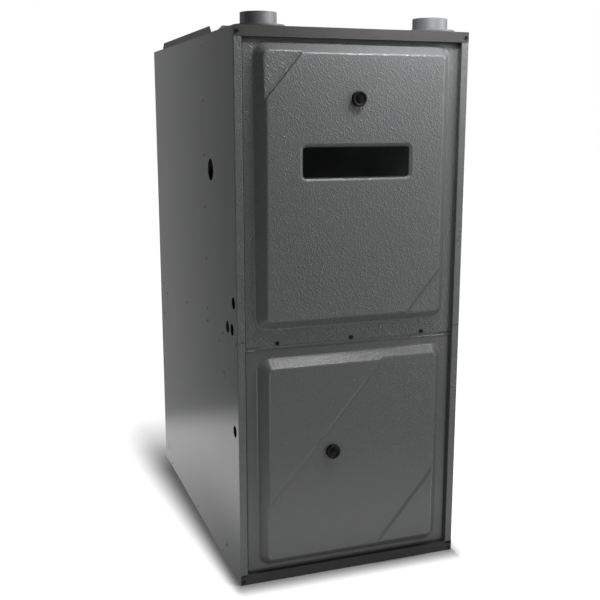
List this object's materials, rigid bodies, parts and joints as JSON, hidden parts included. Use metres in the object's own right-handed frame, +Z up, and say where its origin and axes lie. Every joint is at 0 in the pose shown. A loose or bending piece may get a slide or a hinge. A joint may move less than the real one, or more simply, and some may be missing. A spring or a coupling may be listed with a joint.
{
  "type": "forced air gas furnace",
  "caption": "Upflow condensing forced air gas furnace: sheet-metal cabinet with two pressed lift-off doors, pipe collars and duct flange, over a full burner, heat exchanger and blower section.",
  "frame": {"origin": "middle of the bounding box's base, on the floor", "axes": "+Z up, -Y towards the viewer (the doors), +X to the viewer's right"},
  "size_m": [0.4456, 0.7318, 1.041],
  "materials": {
    "door_paint": "textured powder coat",
    "side_paint": "satin",
    "rail_paint": "semi-gloss",
    "collar_grey": "moulded grey plastic",
    "badge_gloss": "gloss",
    "bezel_black": "semi-gloss",
    "sight_glass": "dark tinted glass",
    "dark_screw": "blackened steel",
    "galvanised": "galvanised",
    "aluminised": "aluminised steel",
    "stainless": "stainless steel",
    "fin_aluminium": "mill finish",
    "valve_aluminium": "die cast",
    "manifold_black": "black pipe",
    "brass": "machined",
    "red_plastic": "moulded red plastic",
    "black_plastic": "moulded black plastic",
    "pipe_white": "moulded white plastic",
    "hose_rubber": "smooth rubber",
    "insulation": "faced fibre board",
    "ceramic": "glazed ceramic",
    "board_green": "solder mask",
    "switch_ivory": "moulded ivory plastic",
    "motor_black": "satin black"
  },
  "bodies": {
    "cabinet": {"left_side_panel": "side_paint", "right_side_panel": "side_paint", "back_panel": "side_paint", "top_plate": "side_paint", "top_rail": "rail_paint", "bottom_rail": "rail_paint", "base_pan": "galvanised", "bottom_return_panel": "galvanised", "blower_deck": "galvanised", "vestibule_panel": "galvanised", "cabinet_screws": "galvanised", "side_rivets": "side_paint", "hole_plugs": "black_plastic", "pipe_collars": "collar_grey", "burner_rack": "galvanised", "burners": "aluminised", "gas_manifold": "manifold_black", "gas_orifices": "brass", "gas_valve": "valve_aluminium", "igniter": "ceramic", "flame_sensor": "stainless", "safety_switches": "black_plastic", "collector_box": "black_plastic", "inducer_housing": "black_plastic", "inducer_motor": "motor_black", "vent_pipe": "pipe_white", "pressure_switch": "black_plastic", "pressure_hose": "hose_rubber", "condensate_trap": "black_plastic", "drain_hose": "hose_rubber", "primary_tubes": "aluminised", "rear_header": "aluminised", "secondary_coil": "stainless", "coil_fins": "fin_aluminium", "blower_housing": "galvanised", "blower_motor": "motor_black", "motor_mount": "galvanised", "control_bracket": "galvanised", "control_board": "board_green", "transformer": "motor_black", "door_switch": "switch_ivory"},
    "upper_door": {"upper_door": "door_paint", "upper_door_insulation": "insulation", "badge_plate": "badge_gloss", "door_screws": "dark_screw", "upper_sight_bezel": "bezel_black", "upper_sight_lens": "sight_glass"},
    "lower_door": {"lower_door": "door_paint", "lower_door_insulation": "insulation", "lower_sight_bezel": "bezel_black", "lower_sight_lens": "sight_glass"},
    "blower_rotor": {"blower_wheel": "galvanised", "blower_shaft": "stainless"},
    "inducer_rotor": {"inducer_wheel": "galvanised", "inducer_shaft": "stainless", "inducer_cooling_fan": "black_plastic"},
    "gas_valve_knob": {"gas_valve_knob": "red_plastic"},
    "left_reset_button": {"left_reset_button": "red_plastic"},
    "right_reset_button": {"right_reset_button": "red_plastic"},
    "door_switch_plunger": {"door_switch_plunger": "red_plastic"}
  },
  "joints": [
    {"name": "upper_door_lift_off", "type": "slide", "parent": "cabinet", "child": "upper_door", "axis": [0, -1, 0], "range_m": [0, 0.3]},
    {"name": "lower_door_lift_off", "type": "slide", "parent": "cabinet", "child": "lower_door", "axis": [0, -1, 0], "range_m": [0, 0.3]},
    {"name": "blower_spin", "type": "hinge", "parent": "cabinet", "child": "blower_rotor", "pos_m": [0, 0.05465, 0.228], "axis": [1, 0, 0], "continuous": true},
    {"name": "inducer_spin", "type": "hinge", "parent": "cabinet", "child": "inducer_rotor", "pos_m": [0.097, -0.20335, 0.572], "axis": [0, 1, 0], "continuous": true},
    {"name": "gas_valve_turn", "type": "hinge", "parent": "cabinet", "child": "gas_valve_knob", "pos_m": [-0.126, -0.17105, 0.8], "axis": [0, 0, 1], "range_deg": [0, 90]},
    {"name": "left_reset_press", "type": "slide", "parent": "cabinet", "child": "left_reset_button", "axis": [0, 1, 0], "range_m": [0, 0.002], "stiffness_N_per_m": 300},
    {"name": "right_reset_press", "type": "slide", "parent": "cabinet", "child": "right_reset_button", "axis": [0, 1, 0], "range_m": [0, 0.002], "stiffness_N_per_m": 300},
    {"name": "door_switch_travel", "type": "slide", "parent": "cabinet", "child": "door_switch_plunger", "axis": [0, -1, 0], "range_m": [0, 0.006]}
  ],
  "couplings": [
    {"joint": "door_switch_travel", "follows": "lower_door_lift_off", "ratio": 0.02}
  ]
}
